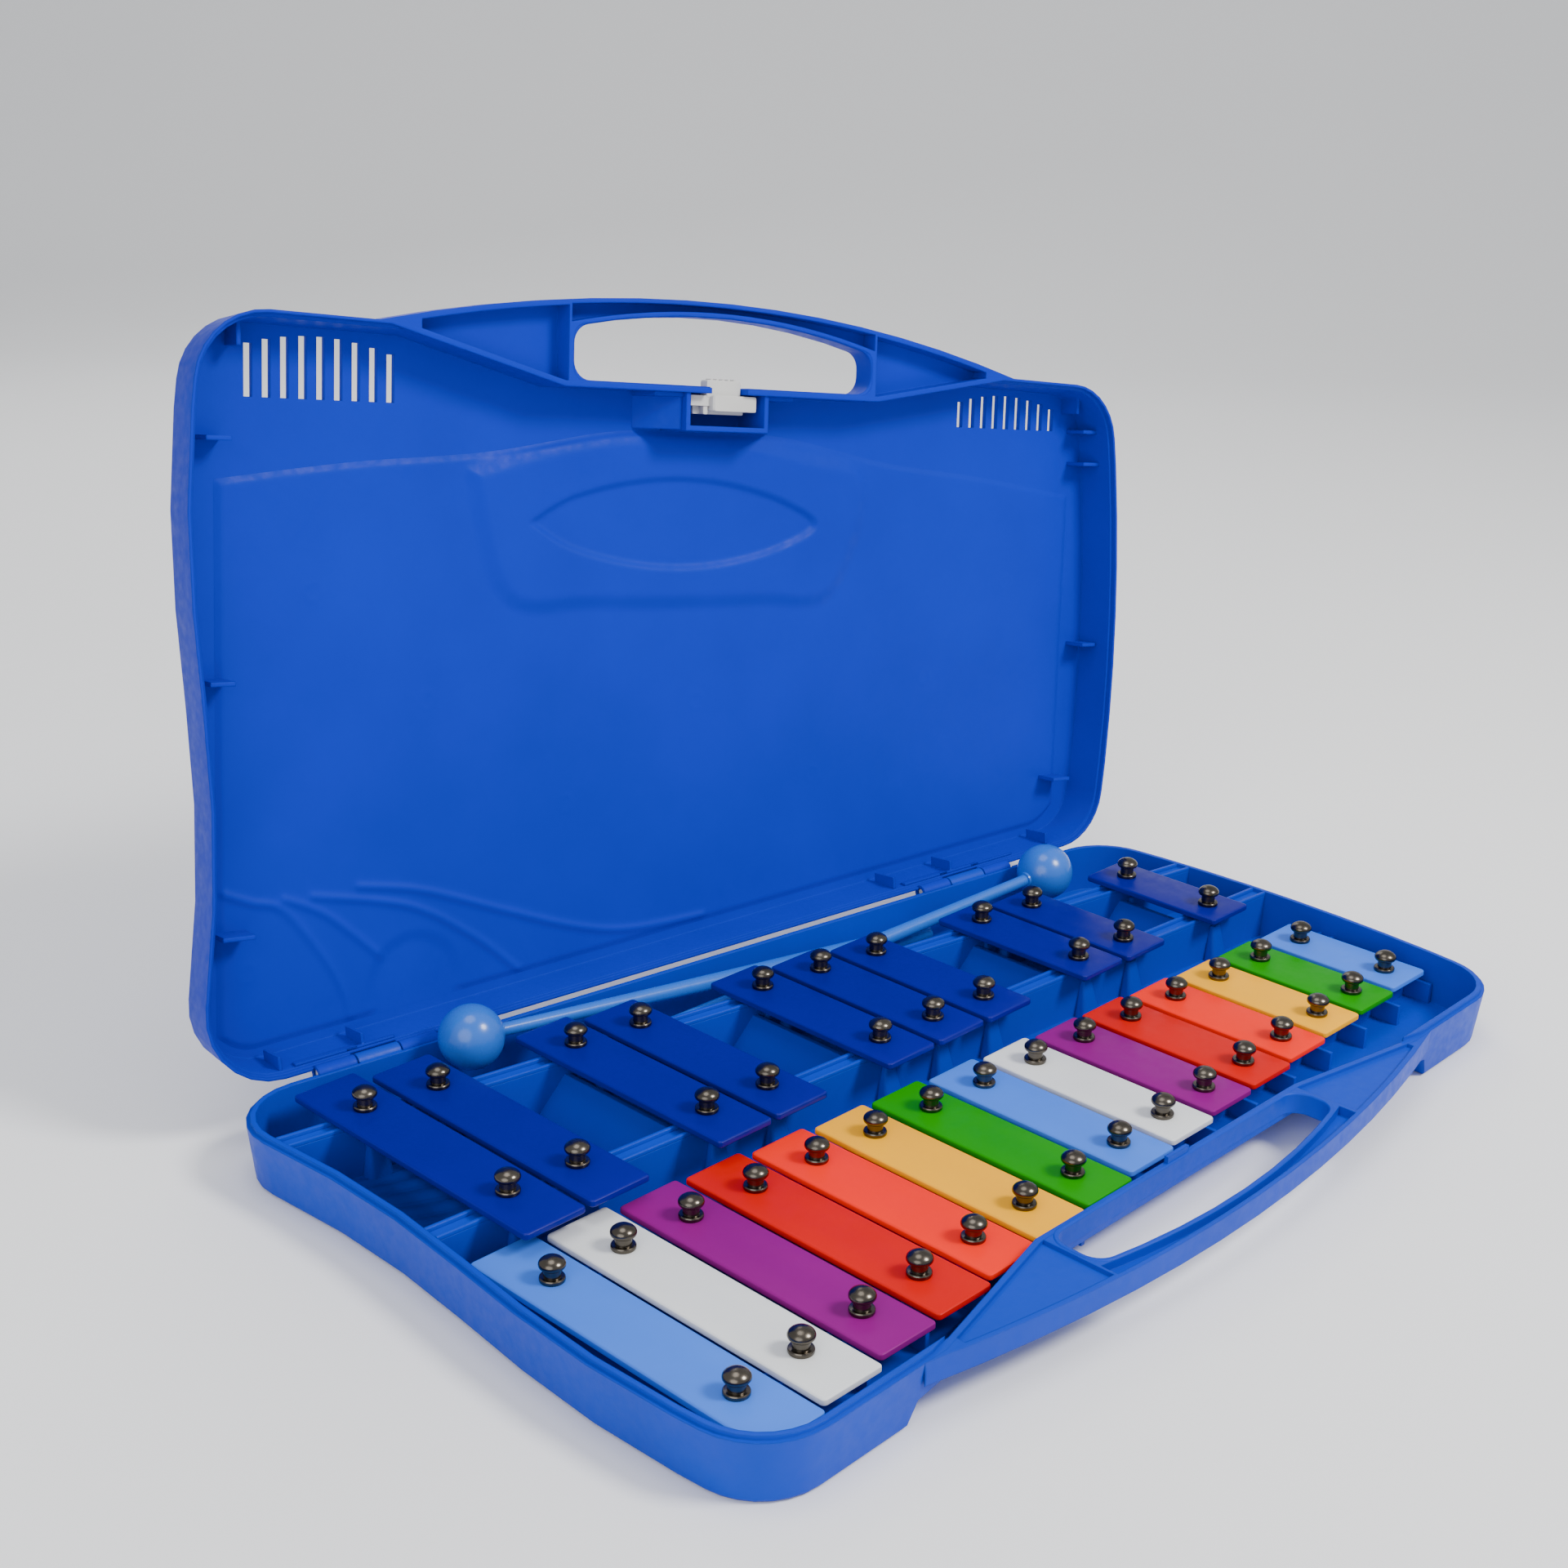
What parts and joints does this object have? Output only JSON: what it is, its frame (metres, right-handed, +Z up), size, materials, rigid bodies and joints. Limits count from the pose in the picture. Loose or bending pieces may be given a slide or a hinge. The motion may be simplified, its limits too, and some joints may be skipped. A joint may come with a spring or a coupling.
{
  "type": "glockenspiel",
  "caption": "Chromatic glockenspiel with coloured metal bars in a blue plastic carrying case, lid standing open, with mallets in the case",
  "frame": {"origin": "Tray underside plane, at the line through the middle natural bar and 8 mm in front of that bar's centre", "axes": "+X runs along the row of bars from the low notes to the high ones, +Y from the carrying grip to the hinge, +Z up"},
  "size_m": [0.4572, 0.3355, 0.2799],
  "materials": {
    "case_blue": "moulded polypropylene, fine grain, satin",
    "mallet_blue": "smooth moulded plastic",
    "bar_deep_blue": "gloss enamel on steel",
    "bar_light_blue": "gloss enamel on steel",
    "bar_white": "gloss enamel on steel",
    "bar_purple": "gloss enamel on steel",
    "bar_red": "gloss enamel on steel",
    "bar_orange": "gloss enamel on steel",
    "bar_yellow": "gloss enamel on steel",
    "bar_green": "gloss enamel on steel",
    "pin_steel": "blackened nickel-plated pins with felt cushions",
    "steel": "drawn wire",
    "latch_grey": "light grey moulded plastic"
  },
  "bodies": {
    "tray": {"base_tray": "case_blue", "hinge_rod_left": "steel", "hinge_rod_right": "steel", "bar_natural_01": "bar_light_blue", "bar_natural_02": "bar_white", "bar_natural_03": "bar_purple", "bar_natural_04": "bar_red", "bar_natural_05": "bar_orange", "bar_natural_06": "bar_yellow", "bar_natural_07": "bar_green", "bar_natural_08": "bar_light_blue", "bar_natural_09": "bar_white", "bar_natural_10": "bar_purple", "bar_natural_11": "bar_red", "bar_natural_12": "bar_orange", "bar_natural_13": "bar_yellow", "bar_natural_14": "bar_green", "bar_natural_15": "bar_light_blue", "bar_sharp_01": "bar_deep_blue", "bar_sharp_02": "bar_deep_blue", "bar_sharp_03": "bar_deep_blue", "bar_sharp_04": "bar_deep_blue", "bar_sharp_05": "bar_deep_blue", "bar_sharp_06": "bar_deep_blue", "bar_sharp_07": "bar_deep_blue", "bar_sharp_08": "bar_deep_blue", "bar_sharp_09": "bar_deep_blue", "bar_sharp_10": "bar_deep_blue", "natural_pins_rear": "pin_steel", "natural_pins_front": "pin_steel", "sharp_pins_rear_1": "pin_steel", "sharp_pins_rear_2": "pin_steel", "sharp_pins_rear_3": "pin_steel", "sharp_pins_rear_4": "pin_steel", "sharp_pins_rear_5": "pin_steel", "sharp_pins_front_1": "pin_steel", "sharp_pins_front_2": "pin_steel", "sharp_pins_front_3": "pin_steel", "sharp_pins_front_4": "pin_steel", "sharp_pins_front_5": "pin_steel"},
    "lid": {"lid_shell": "case_blue"},
    "latch": {"latch_slider": "latch_grey"},
    "mallet_left": {"mallet_left_handle": "mallet_blue", "mallet_left_head": "mallet_blue"},
    "mallet_right": {"mallet_right_handle": "mallet_blue", "mallet_right_head": "mallet_blue"}
  },
  "joints": [
    {"name": "lid_hinge", "type": "hinge", "parent": "tray", "child": "lid", "pos_m": [0, 0.1744, 0.021], "axis": [0.991, -0.134, 0], "range_deg": [0, 99.1]},
    {"name": "latch_slide", "type": "slide", "parent": "lid", "child": "latch", "axis": [-0.1538, -0.1374, -0.9785], "range_m": [0, 0.004], "stiffness_N_per_m": 300, "springref_m": -0.003},
    {"name": "mallet_left_slide", "type": "slide", "parent": "tray", "child": "mallet_left", "axis": [-0.991, 0.134, 0], "range_m": [0, 0.004]},
    {"name": "mallet_right_slide", "type": "slide", "parent": "tray", "child": "mallet_right", "axis": [0.991, -0.134, 0], "range_m": [0, 0.006]}
  ]
}
